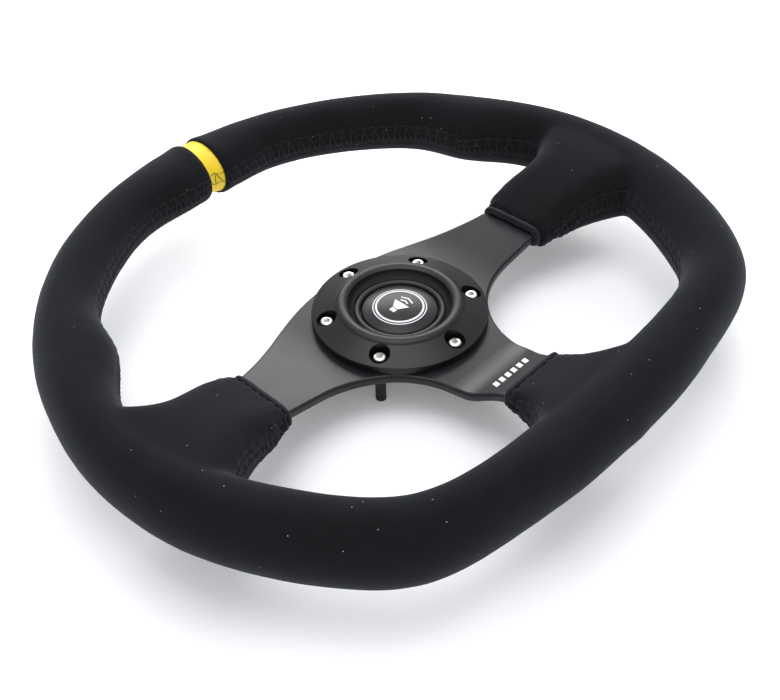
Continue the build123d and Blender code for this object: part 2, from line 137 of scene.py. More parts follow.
# %% [markdown]
# A white sweep and large soft lights give pale, blurred shadows and long, gentle reflections
# on the satin metal. The floor is only just below the bolt tails, which carry the wheel.

# %% Floor and lights
FLOOR_GLOW = 0.16       # a lit white table, which keeps the shadows pale


def plain_colour(name, colour, roughness):
    """A floor finish: one even colour and gloss, with a faint glow."""
    material = bpy.data.materials.new(name)
    material.use_nodes = True
    tree = material.node_tree
    shader = tree.nodes["Principled BSDF"]
    shader.inputs["Base Color"].default_value = (*colour, 1)
    shader.inputs["Roughness"].default_value = roughness
    shader.inputs["Emission Color"].default_value = (1, 1, 1, 1)
    shader.inputs["Emission Strength"].default_value = FLOOR_GLOW
    return material


def area_light(name, place, target, size, power):
    """A soft box that looks at a point."""
    data = bpy.data.lights.new(name, "AREA")
    data.shape = "RECTANGLE"
    data.size, data.size_y = size
    data.energy = power
    light = bpy.data.objects.new(name, data)
    light.location = Vector(place)
    aim = Vector(target) - Vector(place)
    light.rotation_euler = aim.to_track_quat("-Z", "Y").to_euler()
    bpy.context.scene.collection.objects.link(light)


bpy.ops.mesh.primitive_plane_add(size=6, location=(0, 0, FLOOR_Z - 0.02 * MM))
floor = bpy.context.object
floor.name = "floor"
floor.data.materials.append(plain_colour("floor_white", (0.95, 0.95, 0.96), 0.35))

world = bpy.data.worlds.new("studio")
world.use_nodes = True
world.node_tree.nodes["Background"].inputs["Color"].default_value = (0.94, 0.96, 1.0, 1)
world.node_tree.nodes["Background"].inputs["Strength"].default_value = 0.82
bpy.context.scene.world = world
area_light("back_box", (0.75, 0.75, 0.60), (0, 0, 0), (0.7, 0.45), 6.0)
area_light("top_box", (0.0, 0.1, 1.1), (0, 0, 0), (0.8, 0.8), 6.0)
bpy.context.scene.view_settings.view_transform = "Standard"
print("floor at", round(FLOOR_Z / MM, 2), "mm")

# %% [markdown]
# Modelling tools work on what is selected, and the loaded parts come in selected. These small
# helpers deselect everything first, then pick one object, so each later step is safe.

# %% Selection and modifier helpers
def only(*objects):
    """Selects just these objects and makes the first one active."""
    bpy.ops.object.select_all(action="DESELECT")
    for item in objects:
        item.hide_set(False)
        item.select_set(True)
    bpy.context.view_layer.objects.active = objects[0]


def copy_of(name, new_name):
    """A merged, editable copy of a loaded part."""
    copy = bpy.data.objects.new(new_name, nodes[name].data.copy())
    bpy.context.scene.collection.objects.link(copy)
    only(copy)
    bpy.ops.object.mode_set(mode="EDIT")
    bpy.ops.mesh.select_all(action="SELECT")
    bpy.ops.mesh.remove_doubles(threshold=0.002 * MM)
    bpy.ops.object.mode_set(mode="OBJECT")
    copy.data.materials.clear()
    return copy


def joined(objects, name):
    """Several objects as one."""
    only(*objects)
    bpy.ops.object.join()
    result = bpy.context.object
    result.name = result.data.name = name
    return result


def modify(piece, kind, **settings):
    """Adds a modifier, sets it and applies it."""
    only(piece)
    modifier = piece.modifiers.new(kind.lower(), kind)
    for key, value in settings.items():
        setattr(modifier, key, value)
    bpy.ops.object.modifier_apply(modifier=modifier.name)


def points_of(piece):
    """The piece's vertex places as an array, in metres."""
    places = np.zeros(len(piece.data.vertices) * 3)
    piece.data.vertices.foreach_get("co", places)
    return places.reshape(-1, 3)


def set_points(piece, places):
    """Writes the vertex places back."""
    piece.data.vertices.foreach_set("co", places.ravel())
    piece.data.update()


def normals_of(piece):
    """The piece's vertex normals as an array."""
    found = np.zeros(len(piece.data.vertices) * 3)
    piece.data.vertices.foreach_get("normal", found)
    return found.reshape(-1, 3)


print("helpers ready")

# %% [markdown]
# The rim is one soft body: foam in sewn suede, swelling smoothly from the round grip into the
# three padded spokes. The loaded skins have hard creases where the grips meet the rim. A voxel
# remesh makes one even net of the whole body, and smoothing it lets those creases relax into
# the wide fillets that stretched suede has. A closed pocket stays inside the remeshed skin, so
# only the largest shell is kept.

# %% Soft rim body
VOXEL = 1.5 * MM
RELAX_STEPS = 14
PLUG_IN = 0.3 * MM          # how far inside the grip's end the plate is closed off


def spoke_plugs():
    """The plate inside the grips, closed off, so that the remesh sees no hole there."""
    plugs = []
    cuts = [((1, 0, 0), SIDE_END), ((-1, 0, 0), SIDE_END), ((0, -1, 0), LOWER_END)]
    for k, (normal, reach) in enumerate(cuts):
        plug = copy_of("spoke_plate", f"plug_{k}")
        only(plug)
        bpy.ops.object.mode_set(mode="EDIT")
        bpy.ops.mesh.select_all(action="SELECT")
        point = [c * (reach + PLUG_IN) for c in normal]
        bpy.ops.mesh.bisect(plane_co=point, plane_no=normal, use_fill=True, clear_inner=True)
        bpy.ops.object.mode_set(mode="OBJECT")
        plugs.append(plug)
    return plugs


def keep_outer_shell(piece):
    """Keeps only the connected part with the most vertices."""
    net = bmesh.new()
    net.from_mesh(piece.data)
    left = set(net.verts)
    shells = []
    while left:
        start = left.pop()
        shell, front = [start], [start]
        while front:
            vertex = front.pop()
            for edge in vertex.link_edges:
                other = edge.other_vert(vertex)
                if other in left:
                    left.remove(other)
                    shell.append(other)
                    front.append(other)
        shells.append(shell)
    shells.sort(key=len)
    for shell in shells[:-1]:
        bmesh.ops.delete(net, geom=shell, context="VERTS")
    net.to_mesh(piece.data)
    net.free()
    return len(shells)


def soft_body():
    """One closed skin over the rim and its grips, remeshed and relaxed."""
    skins = [copy_of(n, n + "_copy") for n in ("cover_right", "cover_left", "centre_band")]
    piece = joined(skins + spoke_plugs(), "rim_cover")
    modify(piece, "REMESH", mode="VOXEL", voxel_size=VOXEL)
    shells = keep_outer_shell(piece)
    modify(piece, "SMOOTH", factor=0.5, iterations=RELAX_STEPS)
    print("shells found:", shells)
    return piece


cover = soft_body()
print("soft body:", len(cover.data.vertices), "vertices")

# %% [markdown]
# Two things are read from this smooth body before any detail goes on: the seam's path, and the
# shape of the marker band. The suede is wrapped round the rim from outside, and its two edges
# meet on the inner wall of each opening. Rays cast outwards from the middle of an opening find
# that wall. The seam follows the rim's middle height, and dips to the plate on each grip.

# %% Seam paths
RAY_STEP = 0.6
SEAM_STEP = 1.0 * MM
PITCH = 6.0 * MM
ROW_RIM = 4.7 * MM
ROW_GRIP = 3.4 * MM
ROW_BAND = 2.7 * MM
BAND_SEAM_Z = RIM_Z + 1.3 * MM
TOP_ZONE_Y = 100 * MM       # above this height there is only the rim's top
SIDE_GRIP_HALF, SIDE_CLIMB = 62 * MM, 40 * MM       # half height of a side grip, and its climb
LOW_GRIP_HALF, LOW_CLIMB = 50 * MM, 24 * MM         # half width of the lower grip, and its climb
BAND_CLIMB = 6 * MM
SIDE_GRIP_FROM = 60 * MM
END_SLACK = 2.5 * MM        # a ray that meets a grip's end face this closely is left out
SIDE_END_HALF, LOW_END_HALF = 30 * MM, 26 * MM
GLANCING = -0.05
SHORTEST_RUN = 20           # rays
OPENINGS = {                # the middle of each opening, and a test for its own walls
    "upper": (Vector((0, 78, 0)) * MM, lambda place: place.y > 0),
    "right": (Vector((66, -62, 0)) * MM, lambda place: place.x > 0 and place.y < 0),
    "left": (Vector((-66, -62, 0)) * MM, lambda place: place.x < 0 and place.y < 0),
}


def tree_of(*pieces):
    """A search tree over the faces of some pieces."""
    points, faces = [], []
    for piece in pieces:
        start = len(points)
        points += [v.co.copy() for v in piece.data.vertices]
        faces += [[start + i for i in face.vertices] for face in piece.data.polygons]
    return BVHTree.FromPolygons(points, faces)


def ease(value, low, high):
    """Goes smoothly from 0 at low to 1 at high."""
    t = min(max((value - low) / (high - low), 0.0), 1.0)
    return t * t * (3 - 2 * t)


def band_x(place):
    """Distance from the band's middle plane, which is turned a little about the hub."""
    return place.x + BAND_TURN * place.y


def seam_middle(place):
    """The seam's height and half width at a place on the rim: lower and narrower on the grips."""
    out_side = out_low = 1.0
    if abs(place.y) < SIDE_GRIP_HALF:
        out_side = ease(abs(place.x), SIDE_END, SIDE_END + SIDE_CLIMB)
    if abs(place.x) < LOW_GRIP_HALF and place.y < 0:
        out_low = ease(-place.y, LOWER_END, LOWER_END + LOW_CLIMB)
    share = min(out_side, out_low)
    near_band = 0.0
    if place.y > TOP_ZONE_Y:
        near_band = 1 - ease(abs(band_x(place)), BAND_HALF, BAND_HALF + BAND_CLIMB)
    low = plate_height(place)
    height = low + (RIM_Z - low) * share + (BAND_SEAM_Z - RIM_Z) * near_band
    half = ROW_GRIP + (ROW_RIM - ROW_GRIP) * share
    return height, half + (ROW_BAND - half) * near_band


def plate_height(place):
    """The height of the plate's middle where it enters the nearest grip."""
    if abs(place.x) > SIDE_GRIP_FROM:
        return (hem_low.z + hem_high.z) / 2
    return (lower_hem_low.z + lower_hem_high.z) / 2


def wall_at(tree, centre, angle, lift=0.0):
    """Where the wall of an opening is in one direction, on the seam or lifted off it by rows."""
    ahead = Vector((cos(angle), sin(angle), 0))
    height, half = RIM_Z, ROW_RIM
    place = normal = None
    for _ in range(4):
        start = Vector((centre.x, centre.y, height + lift * half))
        place, normal, _, _ = tree.ray_cast(start, ahead)
        if place is None:
            return None
        height, half = seam_middle(place)
    on_side_end = abs(abs(place.x) - SIDE_END) < END_SLACK and abs(place.y) < SIDE_END_HALF
    on_low_end = abs(-place.y - LOWER_END) < END_SLACK and abs(place.x) < LOW_END_HALF
    if on_side_end or on_low_end or normal.dot(ahead) > GLANCING:
        return None
    return place, normal


def seam_path(tree, centre, own):
    """The seam round one opening: runs of even samples of place, normal, ray angle and distance."""
    count = int(360 / RAY_STEP)
    found = [wall_at(tree, centre, radians(RAY_STEP * i)) for i in range(count)]
    found = [hit if hit and own(hit[0]) else None for hit in found]
    start = found.index(None) if None in found else 0
    runs, run = [], []
    for k in range(start, start + count + 1):
        hit = found[k % count]
        if hit is None or k == start + count:
            if len(run) > SHORTEST_RUN:
                runs.append(run)
            run = []
        else:
            run.append((k, *hit))
    samples = []
    for run in runs:
        line = []
        travelled, target = 0.0, 0.0
        for (k, place, normal), (_, next_place, next_normal) in zip(run, run[1:]):
            span = (next_place - place).length
            while target <= travelled + span and span > 0:
                t = (target - travelled) / span
                line.append((place.lerp(next_place, t), normal.lerp(next_normal, t).normalized(),
                             radians(RAY_STEP * (k + t)), target))
                target += SEAM_STEP
            travelled += span
        samples.append(line)
    return samples


smooth_tree = tree_of(cover)
seams = {}
for name, (centre, own) in OPENINGS.items():
    for k, line in enumerate(seam_path(smooth_tree, centre, own)):
        seams[f"{name}_{k}"] = (centre, line)
        ends = [[round(c / MM) for c in line[end][0]] for end in (0, -1)]
        print("seam", name, k, "length", round(line[-1][3] / MM), "mm, ends", ends)

# %% [markdown]
# The marker band is a strip of smooth leather let into a gap in the suede at 12 o'clock. It is
# a slice of the same body, so it continues the rim's shape exactly, drawn in by half a
# millimetre and with its edges tucked under the suede.

# %% Marker band
BAND_DEPTH = 0.55 * MM
TUCK = 1.6 * MM
TUCK_SHARES = (0.35, 0.65)  # the edge is turned in by two folds
RIM_CROWN_R = (band_low.y + band_high.y) / 2
CUT_NEAR = 5 * MM


def cut_across(piece, x):
    """Cuts new edges where the rim's top crosses one side of the band."""
    only(piece)
    bpy.ops.object.mode_set(mode="EDIT")
    bpy.ops.mesh.select_all(action="DESELECT")
    bpy.ops.mesh.select_mode(type="FACE")
    net = bmesh.from_edit_mesh(piece.data)
    for face in net.faces:
        middle = face.calc_center_median()
        face.select_set(middle.y > TOP_ZONE_Y and abs(band_x(middle) - x) < CUT_NEAR)
    bmesh.update_edit_mesh(piece.data)
    bpy.ops.mesh.bisect(plane_co=(x, 0, 0), plane_no=(1, BAND_TURN, 0))
    bpy.ops.object.mode_set(mode="OBJECT")


def drop_faces(piece, wanted):
    """Deletes the faces whose middle passes a test, with the vertices left over."""
    net = bmesh.new()
    net.from_mesh(piece.data)
    doomed = [face for face in net.faces if wanted(face.calc_center_median())]
    bmesh.ops.delete(net, geom=doomed, context="FACES")
    net.to_mesh(piece.data)
    net.free()


def tuck_edges(piece, depth):
    """Turns every open edge in towards the middle of the rim."""
    net = bmesh.new()
    net.from_mesh(piece.data)
    rim = [edge for edge in net.edges if edge.is_boundary]
    for share in TUCK_SHARES:
        made = bmesh.ops.extrude_edge_only(net, edges=rim)["geom"]
        for vertex in [item for item in made if isinstance(item, bmesh.types.BMVert)]:
            inward = Vector((0, RIM_CROWN_R - vertex.co.y, RIM_Z - vertex.co.z)).normalized()
            vertex.co += inward * depth * share
        rim = [item for item in made if isinstance(item, bmesh.types.BMEdge) and item.is_boundary]
    bmesh.ops.recalc_face_normals(net, faces=net.faces)
    net.to_mesh(piece.data)
    net.free()


def duplicate(piece, name):
    """A copy with its own mesh."""
    copy = piece.copy()
    copy.data = piece.data.copy()
    copy.name = copy.data.name = name
    bpy.context.scene.collection.objects.link(copy)
    return copy


for side in (-1, 1):
    cut_across(cover, side * BAND_HALF)
band = duplicate(cover, "marker_band")
drop_faces(band, lambda middle: abs(band_x(middle)) > BAND_HALF or middle.y < TOP_ZONE_Y)
drop_faces(cover, lambda middle: abs(band_x(middle)) < BAND_HALF and middle.y > TOP_ZONE_Y)
set_points(band, points_of(band) - normals_of(band) * BAND_DEPTH)
tuck_edges(band, TUCK)
print("marker band:", len(band.data.vertices), "vertices")

# %% [markdown]
# Suede that is pulled and stitched shows it: a valley where its edges meet, a row of dents on
# each side where the needle went in, and puckers between them. Near each grip's end the suede
# is gathered, so folds run out from the hem and fade. The net is first made finer along the
# seams, and then every vertex moves along its normal by the sum of these small effects.

# %% Seam valley, puckers and folds
FINE_REACH = 7.5 * MM
VALLEY = 0.30 * MM
DENT = 0.26 * MM
PUFF = 0.16 * MM
LUMP = 0.22 * MM
FOLD = 0.55 * MM
FOLD_PITCH = 4.6 * MM
FOLD_FADE = 9 * MM
FOLD_REACH = 34 * MM
GATHER = 0.9 * MM
GATHER_REACH = 30 * MM
EDGE_SWELL = 0.7 * MM


def seam_tree():
    """All the seam samples in one search tree, with their frames."""
    lines = [line for _, line in seams.values()]
    tree = kdtree.KDTree(sum(len(line) for line in lines))
    frames = []
    for line in lines:
        for k, (place, normal, _, along) in enumerate(line):
            tree.insert(place, len(frames))
            tangent = (line[min(k + 1, len(line) - 1)][0] - line[max(k - 1, 0)][0]).normalized()
            across = normal.cross(tangent)
            if across.z < 0:
                across = -across
            frames.append((place, across.normalized(), along, seam_middle(place)[1]))
    tree.balance()
    return tree, frames


def refine_near_seams(piece, tree):
    """Subdivides the faces that lie close to a seam."""
    only(piece)
    bpy.ops.object.mode_set(mode="EDIT")
    bpy.ops.mesh.select_all(action="DESELECT")
    bpy.ops.mesh.select_mode(type="FACE")
    net = bmesh.from_edit_mesh(piece.data)
    for face in net.faces:
        face.select_set(tree.find(face.calc_center_median())[2] < FINE_REACH)
    bmesh.update_edit_mesh(piece.data)
    bpy.ops.mesh.subdivide(number_cuts=1, smoothness=0.0)
    bpy.ops.object.mode_set(mode="OBJECT")


def bell(value, width):
    """A smooth bump of height 1 around 0."""
    return exp(-(value / width) ** 2)


def seam_relief(place, tree, frames):
    """How far the stitched seam lifts or sinks the suede here."""
    _, index, distance = tree.find(place)
    if distance > FINE_REACH:
        return 0.0
    middle, across, along, half = frames[index]
    off = abs((place - middle).dot(across))
    beat = cos(2 * pi * along / PITCH)
    valley = -VALLEY * bell(off, 1.0 * MM)
    puff = PUFF * bell(off - half * 0.55, 1.2 * MM) * (0.6 - 0.4 * beat)
    dents = -DENT * bell(off - half, 0.9 * MM) * (0.65 + 0.35 * beat)
    shoulder = 0.5 * PUFF * bell(off - half - 2.2 * MM, 1.5 * MM) * (0.5 - 0.5 * beat)
    return valley + puff + dents + shoulder


def fold_relief(place):
    """Folds that run out from the hems, and the gathered lumps under the grips."""
    relief = 0.0
    side_reach = abs(place.x) - SIDE_END
    low_reach = -place.y - LOWER_END
    for reach, around, on_grip in (
        (side_reach, place.y + 0.6 * place.z, abs(place.y) < 42 * MM and side_reach > -1 * MM),
        (low_reach, place.x + 0.6 * place.z, abs(place.x) < 46 * MM and low_reach > -1 * MM),
    ):
        if not on_grip or reach > FOLD_REACH:
            continue
        under = ease(RIM_Z - 4 * MM - place.z, -6 * MM, 6 * MM)
        drift = 2.2 * noise.noise(Vector((place.x, place.y, place.z)) * 90)
        wave = sin(2 * pi * around / FOLD_PITCH + drift)
        fade = exp(-max(reach, 0) / FOLD_FADE)
        relief += FOLD * wave * fade * (0.25 + 0.75 * under)
        knots = noise.fractal(Vector((place.x, place.y, place.z * 1.4)) * 210, 0.7, 2.1, 3)
        relief += GATHER * knots * under * ease(GATHER_REACH - reach, 0, 14 * MM)
    return relief


def lump_relief(place):
    """The faint unevenness of hand-wrapped suede over foam."""
    wide = noise.noise(Vector((place.x, place.y, place.z)) * 38)
    small = noise.noise(Vector((place.x, place.y, place.z)) * 110)
    return LUMP * (wide + 0.4 * small)


def edge_roll(place):
    """A slight roll where the suede meets the marker band."""
    if place.y < TOP_ZONE_Y:
        return 0.0
    off = abs(band_x(place)) - BAND_HALF
    swell = EDGE_SWELL * ease(9 * MM - off, 0, 8 * MM)
    return swell - 0.35 * MM * bell(off, 0.5 * MM)


centre_tree, frames = seam_tree()
refine_near_seams(cover, centre_tree)
places, normals = points_of(cover), normals_of(cover)
moves = np.zeros(len(places))
for i, place in enumerate(places):
    here = Vector(place)
    moves[i] = (seam_relief(here, centre_tree, frames) + fold_relief(here)
                + lump_relief(here) + edge_roll(here))
set_points(cover, places + normals * moves[:, None])
tuck_edges(cover, TUCK)
print("cover:", len(cover.data.vertices), "vertices, relief", round(moves.min() / MM, 2), "to",
      round(moves.max() / MM, 2), "mm")

# %% [markdown]
# Each grip ends in a hem: the suede is folded back on itself and glued down round the plate.
# Rays cast in the plane of the grip's end find its outline. Two soft rolls follow it, a fuller
# one at the edge and a smaller one tucked in against the plate, each with an uneven thickness.

# %% Hems
HEM_STEPS = 96
HEM_ROLLS = ((1.15, 1.25, 0.9), (2.5, 0.95, 1.5))   # inset, radius and setback in mm
HEM_CUT_IN = 1.0            # mm inside the grip's end, where its outline is taken


def end_outline(middle, axis, across, tree):
    """The grip's outline in the plane of its end, as places and inward directions."""
    found = []
    for i in range(HEM_STEPS):
        turn = 2 * pi * i / HEM_STEPS
        ahead = across * cos(turn) + Vector((0, 0, 1)) * sin(turn)
        place, normal, _, _ = tree.ray_cast(middle, ahead)
        found.append((place, (normal - axis * normal.dot(axis)).normalized()))
    return found


def tube_piece(name, paths, radius, closed=False, sides=2):
    """Round cords along lines of points, as one mesh. A point may carry its own thickness."""
    curve = bpy.data.curves.new(name, "CURVE")
    curve.dimensions = "3D"
    curve.bevel_depth = radius
    curve.bevel_resolution = sides
    curve.use_fill_caps = True
    for path in paths:
        spline = curve.splines.new("POLY")
        spline.points.add(len(path) - 1)
        spline.use_cyclic_u = closed
        for point, entry in zip(spline.points, path):
            place, thick = entry if isinstance(entry, tuple) else (entry, 1.0)
            point.co = (*place, 1)
            point.radius = thick
    maker = bpy.data.objects.new(name + "_curve", curve)
    bpy.context.scene.collection.objects.link(maker)
    only(maker)
    bpy.ops.object.convert(target="MESH")
    piece = bpy.context.object
    piece.name = piece.data.name = name
    only(piece)
    bpy.ops.object.mode_set(mode="EDIT")
    bpy.ops.mesh.select_all(action="SELECT")
    bpy.ops.mesh.remove_doubles(threshold=0.001 * MM)
    bpy.ops.mesh.normals_make_consistent(inside=False)
    bpy.ops.object.mode_set(mode="OBJECT")
    bpy.ops.object.shade_smooth()
    return piece


def hem(name, node, axis, reach):
    """The folded hem at the end of one grip."""
    low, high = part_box(node)
    middle = (low + high) / 2
    across = Vector((0, 1, 0)) if abs(axis.x) > 0.5 else Vector((1, 0, 0))
    spot = middle - axis * middle.dot(axis) + axis * (reach + HEM_CUT_IN * MM)
    outline = end_outline(spot, axis, across, smooth_tree)
    paths = []
    for inset, radius, setback in HEM_ROLLS:
        path = []
        for place, outward in outline:
            here = place - outward * inset * MM - axis * (HEM_CUT_IN + setback) * MM
            uneven = 1 + 0.16 * noise.noise(here * 320) + 0.08 * noise.noise(here * 900)
            path.append((here, uneven * radius / HEM_ROLLS[0][1]))
        paths.append(path)
    piece = tube_piece(name, paths, HEM_ROLLS[0][1] * MM, closed=True, sides=4)
    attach(piece, "wheel")
    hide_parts(node)
    return piece


hems = [
    hem("hem_right_roll", "hem_right", Vector((1, 0, 0)), SIDE_END),
    hem("hem_left_roll", "hem_left", Vector((-1, 0, 0)), SIDE_END),
    hem("hem_lower_roll", "hem_lower", Vector((0, -1, 0)), LOWER_END),
]
print("hems:", [len(piece.data.vertices) for piece in hems])

# %% [markdown]
# The lacing is one waxed black thread. Along each row it runs in short waves from hole to hole,
# and it crosses the valley twice in each step: once nearly straight and once on a slant. The
# places are found on the finished suede by rays, so the thread lies on every pucker.

# %% Lacing thread
THREAD_R = 0.19 * MM
THREAD_LIFT = -0.04 * MM
WAVE = 0.45 * MM
CROSSINGS = ((0.0, -0.1), (0.25, 0.85))     # where each crossing starts and ends, in steps
CROSS_PARTS = 8
DIP = 0.25 * MM             # the thread dives into its holes
ARCH = 0.15 * MM            # and stands a little clear of the valley between them
LONGEST_JUMP = 4 * SEAM_STEP
FEWEST_POINTS = 5

final_tree = tree_of(cover, band)


def on_wall(centre, angle, lift, rise, nudge=0.0):
    """A point on the finished wall, lifted off it by a little."""
    hit = wall_at(final_tree, centre, angle, lift)
    if hit is None:
        return None
    place, normal = hit
    return place + normal * rise + Vector((0, 0, nudge))


def follows(path, point):
    """Whether a point is close enough to a path's last one to go on from it."""
    return not path or (point - path[-1]).length < LONGEST_JUMP


def lacing_paths(centre, line):
    """Thread paths along one seam: both rows and the crossings."""
    angles = [entry[2] for entry in line]
    total = len(angles)
    per_step = int(round(PITCH / SEAM_STEP))
    paths = []
    for side in (-1, 1):
        path = []
        for k, angle in enumerate(angles):
            wave = WAVE * cos(2 * pi * k / per_step) * side
            point = on_wall(centre, angle, side, THREAD_LIFT, wave)
            if point and follows(path, point):
                path.append(point)
            elif point:
                paths.append(path)
                path = [point]
        paths.append(path)
    for k in range(0, total - per_step, per_step):
        for start, end in CROSSINGS:
            path = []
            for j in range(CROSS_PARTS + 1):
                t = j / CROSS_PARTS
                spot = k + (start + (end - start) * t) * per_step
                low = int(spot)
                angle = angles[low] + (angles[min(low + 1, total - 1)] - angles[low]) * (spot - low)
                dip = DIP * (bell(t, 0.08) + bell(1 - t, 0.08))
                rise = THREAD_LIFT - dip + ARCH * bell(t - 0.5, 0.3)
                point = on_wall(centre, angle, 2 * t - 1, rise)
                if point and follows(path, point):
                    path.append(point)
            paths.append(path)
    return [path for path in paths if len(path) > FEWEST_POINTS]


lacing = []
for name, (centre, line) in seams.items():
    piece = tube_piece(f"lacing_{name}", lacing_paths(centre, line), THREAD_R, sides=1)
    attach(piece, "wheel")
    lacing.append(piece)
print("lacing:", [len(piece.data.vertices) for piece in lacing])

# %% [markdown]
# Each soft piece is shaded smooth and rides on the wheel's body. The plain skins that it
# stands for then disappear from the picture, so nothing shows twice.

# %% Place the soft pieces
for piece in (cover, band):
    only(piece)
    bpy.ops.object.shade_smooth()
    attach(piece, "wheel")
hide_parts("cover_right", "cover_left", "rim_foam")
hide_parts("centre_band")
print("soft pieces ride on the wheel")

# %% [markdown]
# The cap carries a printed sign: two plain rings round a horn. The lower spoke carries a row of
# slanted bars. Both are drawn flat and cut into small cells, then dropped on the surface below
# so that they follow it, and given a film's thickness.

# %% Printed marks
FILM = 0.06 * MM
RINGS = ((12.35, 12.8), (10.7, 11.6))              # inner and outer radius in mm
HORN_SIGN = [
    [(-5.6, -1.5), (-3.4, -1.5), (-3.4, 1.5), (-5.6, 1.5)],
    [(-2.9, -1.6), (1.6, -4.4), (1.6, 4.4), (-2.9, 1.6)],
    [(2.7, -2.0), (3.3, -2.4), (4.3, 0.0), (3.3, 2.4), (2.7, 2.0), (3.5, 0.0)],
    [(4.6, -3.4), (5.2, -3.8), (6.7, 0.0), (5.2, 3.8), (4.6, 3.4), (5.9, 0.0)],
]
BAR_COUNT = 6
BAR_W, BAR_H, BAR_LEAN, BAR_STEP = 2.5, 3.6, 1.6, 4.0       # mm
MARK_Y = -66.0 * MM
SIGN_CELL, BAR_CELL = 1.5 * MM, 1.2 * MM


def flat_faces(outlines, cell):
    """Flat faces from outlines in millimetres, cut into small cells so they can bend."""
    net = bmesh.new()
    for outline in outlines:
        net.faces.new([net.verts.new((x * MM, y * MM, 0)) for x, y in outline])
    for axis in (Vector((1, 0, 0)), Vector((0, 1, 0))):
        spots = [v.co.dot(axis) for v in net.verts]
        place = min(spots) + cell
        while place < max(spots):
            everything = net.verts[:] + net.edges[:] + net.faces[:]
            bmesh.ops.bisect_plane(net, geom=everything, plane_co=axis * place, plane_no=axis)
            place += cell
    return net


def ring_faces(net, inner, outer, steps=128):
    """Adds a flat ring to a net of faces."""
    loops = []
    for radius in (inner, outer):
        loops.append([net.verts.new((radius * MM * cos(2 * pi * i / steps),
                                     radius * MM * sin(2 * pi * i / steps), 0)) for i in range(steps)])
    for i in range(steps):
        j = (i + 1) % steps
        net.faces.new([loops[0][i], loops[1][i], loops[1][j], loops[0][j]])


def printed(name, net, under, body, offset=(0, 0)):
    """Drops flat faces on the node below them and gives them a film's thickness."""
    tree = tree_of(nodes[under])
    for vertex in net.verts:
        spot = Vector((vertex.co.x + offset[0], vertex.co.y + offset[1], 1.0))
        hit = tree.ray_cast(spot, Vector((0, 0, -1)))[0]
        vertex.co = hit + Vector((0, 0, 0.01 * MM))
    mesh = bpy.data.meshes.new(name)
    bmesh.ops.recalc_face_normals(net, faces=net.faces)
    if sum(face.normal.z for face in net.faces) < 0:
        bmesh.ops.reverse_faces(net, faces=net.faces)
    net.to_mesh(mesh)
    net.free()
    piece = bpy.data.objects.new(name, mesh)
    bpy.context.scene.collection.objects.link(piece)
    modify(piece, "SOLIDIFY", thickness=FILM, offset=1)
    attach(piece, body)
    return piece


cap_net = flat_faces(HORN_SIGN, SIGN_CELL)
for inner, outer in RINGS:
    ring_faces(cap_net, inner, outer)
cap_print = printed("cap_print", cap_net, "button_cap", "horn_button")
bars = []
for i in range(BAR_COUNT):
    x = (i - (BAR_COUNT - 1) / 2) * BAR_STEP
    lean = BAR_LEAN / 2
    bars.append([(x - BAR_W / 2 - lean, -BAR_H / 2), (x + BAR_W / 2 - lean, -BAR_H / 2),
                 (x + BAR_W / 2 + lean, BAR_H / 2), (x - BAR_W / 2 + lean, BAR_H / 2)])
bar_net = flat_faces(bars, BAR_CELL)
spoke_print = printed("spoke_print", bar_net, "spoke_plate", "wheel", (0, MARK_Y))
print("printed marks:", len(cap_print.data.vertices), len(spoke_print.data.vertices))

# %% [markdown]
# Materials. Four small effects are shared, so each is a node group: grain gives a fine height,
# patches gives a slow change over the surface, specks gives a sparse mask of dust, and the edge
# highlight paints a lighter colour on the sharp edges, a painted highlight where rounded edges
# would catch the light. Shaders stay in the materials themselves.

# %% Shared effects
BROAD_SCALE = 0.23          # the broad noise's scale, as a share of the fine one's
CONTRAST_TRIM = 0.4         # full contrast trims this much off each end of the noise


def group(name, inputs, outputs):
    """An empty shader node group with its sockets."""
    tree = bpy.data.node_groups.new(name, "ShaderNodeTree")
    for socket, default in inputs:
        item = tree.interface.new_socket(socket, in_out="INPUT", socket_type="NodeSocketFloat")
        item.default_value = default
    for socket in outputs:
        tree.interface.new_socket(socket, in_out="OUTPUT", socket_type="NodeSocketFloat")
    return tree, tree.nodes.new("NodeGroupInput"), tree.nodes.new("NodeGroupOutput")


def add(tree, kind, links=(), **settings):
    """Adds a node, sets its properties and inputs, and links sources to its inputs."""
    node = tree.nodes.new(kind)
    for key, value in settings.items():
        if hasattr(node, key):
            setattr(node, key, value)
        else:
            node.inputs[key.replace("_", " ")].default_value = value
    for source, socket in links:
        tree.links.new(source, node.inputs[socket])
    return node


def make_grain():
    """Fine grain: a height from two sizes of noise."""
    tree, given, out = group("fine_grain", [("Scale", 2000.0), ("Coarse", 0.4)], ["Height"])
    where = add(tree, "ShaderNodeTexCoord").outputs["Object"]
    fine = add(tree, "ShaderNodeTexNoise", [(where, "Vector"), (given.outputs["Scale"], "Scale")],
               Detail=3.0)
    wider = add(tree, "ShaderNodeMath", [(given.outputs["Scale"], 0)], operation="MULTIPLY")
    wider.inputs[1].default_value = BROAD_SCALE
    broad = add(tree, "ShaderNodeTexNoise", [(where, "Vector"), (wider.outputs[0], "Scale")], Detail=2.0)
    mix = add(tree, "ShaderNodeMix", [(given.outputs["Coarse"], "Factor"), (fine.outputs[0], "A"),
                                      (broad.outputs[0], "B")])
    tree.links.new(mix.outputs["Result"], out.inputs["Height"])
    return tree


